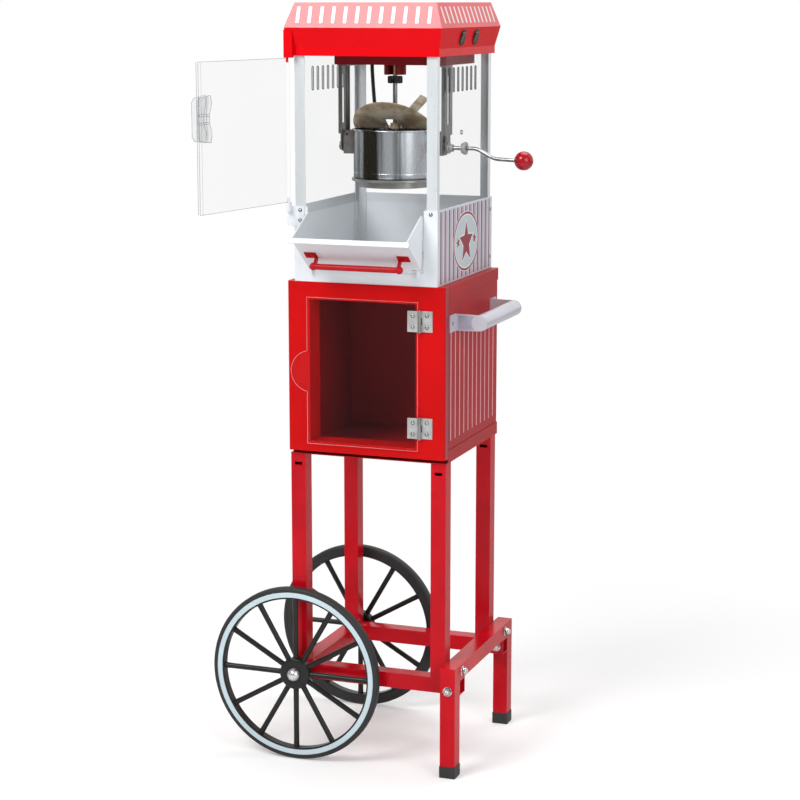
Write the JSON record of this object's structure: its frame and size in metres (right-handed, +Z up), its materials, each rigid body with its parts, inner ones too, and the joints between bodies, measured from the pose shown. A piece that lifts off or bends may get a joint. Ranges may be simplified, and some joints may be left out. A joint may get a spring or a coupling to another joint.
{
  "type": "popcorn cart",
  "caption": "Kettle popcorn popper with a glazed case and striped roof on a cabinet stand, with spoked wheels at one end and feet at the other.",
  "frame": {"origin": "on the floor, under the centre of the cabinet", "axes": "+Z up, -Y towards the front with the doors and chute flap, +X towards the feet, push handle and crank"},
  "size_m": [0.4965, 0.5558, 1.219],
  "materials": {
    "red_frame": "gloss",
    "red_cabinet": "gloss",
    "red_roof": "gloss",
    "dark_red": "satin",
    "white_case": "gloss",
    "panel_print": "satin",
    "white_post": "satin",
    "grey_sheet": "satin",
    "clear": "clear",
    "zinc": "polished",
    "white_handle": "gloss",
    "wheel_black": "gloss",
    "tyre": "matte",
    "rubber": "matte",
    "kettle_steel": "brushed",
    "heater_steel": "brushed",
    "bush_white": "satin",
    "brass": "polished",
    "knob_black": "satin",
    "gear_nylon": "satin",
    "motor_steel": "satin",
    "ball_red": "gloss",
    "handle_red": "gloss",
    "lead_black": "matte",
    "switch_black": "gloss",
    "rocker_amber": "gloss"
  },
  "bodies": {
    "stand_and_case": {"legs": "red_frame", "rails": "red_frame", "feet": "red_frame", "foot_caps": "rubber", "frame_bolts": "zinc", "axle": "zinc", "cabinet_tray": "red_cabinet", "cabinet_sides": "red_cabinet", "cabinet_back": "red_cabinet", "cabinet_front": "red_cabinet", "cabinet_top": "red_cabinet", "hinge_fixed_leaves": "zinc", "handle_brackets": "white_handle", "handle_grip": "white_handle", "case_screws": "zinc", "base_housing": "white_case", "side_panels": "panel_print", "popcorn_deck": "grey_sheet", "corner_posts": "white_post", "window_left": "clear", "window_right": "clear", "window_back": "clear", "door_hinge_upper": "red_roof", "door_hinge_lower": "white_case", "flap_pin": "zinc", "roof_shell": "red_roof", "roof_deck": "grey_sheet", "motor_housing": "dark_red", "stir_motor": "motor_steel", "shaft_bush": "brass", "hanger_left": "kettle_steel", "hanger_right": "kettle_steel", "crank_bushes": "bush_white", "kettle_lead": "lead_black", "switch_bodies": "switch_black", "cord_gland": "switch_black"},
    "front_wheel": {"wheel_front": "wheel_black", "tyre_front": "tyre"},
    "back_wheel": {"wheel_back": "wheel_black", "tyre_back": "tyre"},
    "lower_door": {"cabinet_door": "clear", "hinge_door_leaves": "zinc", "hinge_door_screws": "zinc"},
    "glass_door": {"popper_door": "clear", "door_latch": "clear"},
    "chute_flap": {"flap": "white_case", "flap_handle": "handle_red"},
    "kettle": {"kettle_pot": "kettle_steel", "kettle_heater": "heater_steel", "kettle_pivots": "kettle_steel", "kettle_lid_rear": "kettle_steel", "crank_rod": "kettle_steel", "crank_ball": "ball_red"},
    "kettle_cover": {"kettle_lid_front": "kettle_steel"},
    "stirrer": {"stir_rod": "kettle_steel"},
    "stir_drive": {"stir_gear": "gear_nylon", "coupling_knob": "knob_black"},
    "motor_rotor": {"motor_pinion": "brass"},
    "front_rocker": {"rocker_front": "rocker_amber"},
    "back_rocker": {"rocker_back": "rocker_amber"}
  },
  "joints": [
    {"name": "front_wheel_spin", "type": "hinge", "parent": "stand_and_case", "child": "front_wheel", "pos_m": [-0.119, -0.1455, 0.1445], "axis": [0, 1, 0], "continuous": true},
    {"name": "back_wheel_spin", "type": "hinge", "parent": "stand_and_case", "child": "back_wheel", "pos_m": [-0.119, 0.1455, 0.1445], "axis": [0, 1, 0], "continuous": true},
    {"name": "lower_door_swing", "type": "hinge", "parent": "stand_and_case", "child": "lower_door", "pos_m": [0.092, -0.141, 0.645], "axis": [0, 0, 1], "range_deg": [0, 110]},
    {"name": "glass_door_swing", "type": "hinge", "parent": "stand_and_case", "child": "glass_door", "pos_m": [-0.126, -0.1415, 1.023], "axis": [0, 0, 1], "range_deg": [-17, 99]},
    {"name": "flap_swing", "type": "hinge", "parent": "stand_and_case", "child": "chute_flap", "pos_m": [0, -0.1392, 0.812], "axis": [1, 0, 0], "range_deg": [-53, 0]},
    {"name": "kettle_tilt", "type": "hinge", "parent": "stand_and_case", "child": "kettle", "pos_m": [0, 0, 0.992], "axis": [1, 0, 0], "range_deg": [0, 100], "deforming": ["kettle_lead"]},
    {"name": "kettle_cover_lift", "type": "hinge", "parent": "kettle", "child": "kettle_cover", "pos_m": [0, -0.0025, 1.0246], "axis": [-1, 0, 0], "range_deg": [-40, 35]},
    {"name": "stirrer_spin", "type": "hinge", "parent": "kettle", "child": "stirrer", "pos_m": [0, 0, 0.992], "axis": [0, 0, 1], "continuous": true},
    {"name": "stir_drive_spin", "type": "hinge", "parent": "stand_and_case", "child": "stir_drive", "pos_m": [0, 0, 1.1288], "axis": [0, 0, 1], "continuous": true},
    {"name": "motor_spin", "type": "hinge", "parent": "stand_and_case", "child": "motor_rotor", "pos_m": [0, 0.025, 1.1288], "axis": [0, 0, 1], "continuous": true},
    {"name": "front_rocker_tip", "type": "hinge", "parent": "stand_and_case", "child": "front_rocker", "pos_m": [0.1255, -0.039, 1.1655], "axis": [0, 1, 0], "range_deg": [-16, 0]},
    {"name": "back_rocker_tip", "type": "hinge", "parent": "stand_and_case", "child": "back_rocker", "pos_m": [0.1255, 0.026, 1.1655], "axis": [0, 1, 0], "range_deg": [-16, 0]}
  ],
  "couplings": [
    {"joint": "stirrer_spin", "follows": "stir_drive_spin", "ratio": 1},
    {"joint": "motor_spin", "follows": "stir_drive_spin", "ratio": -4}
  ]
}
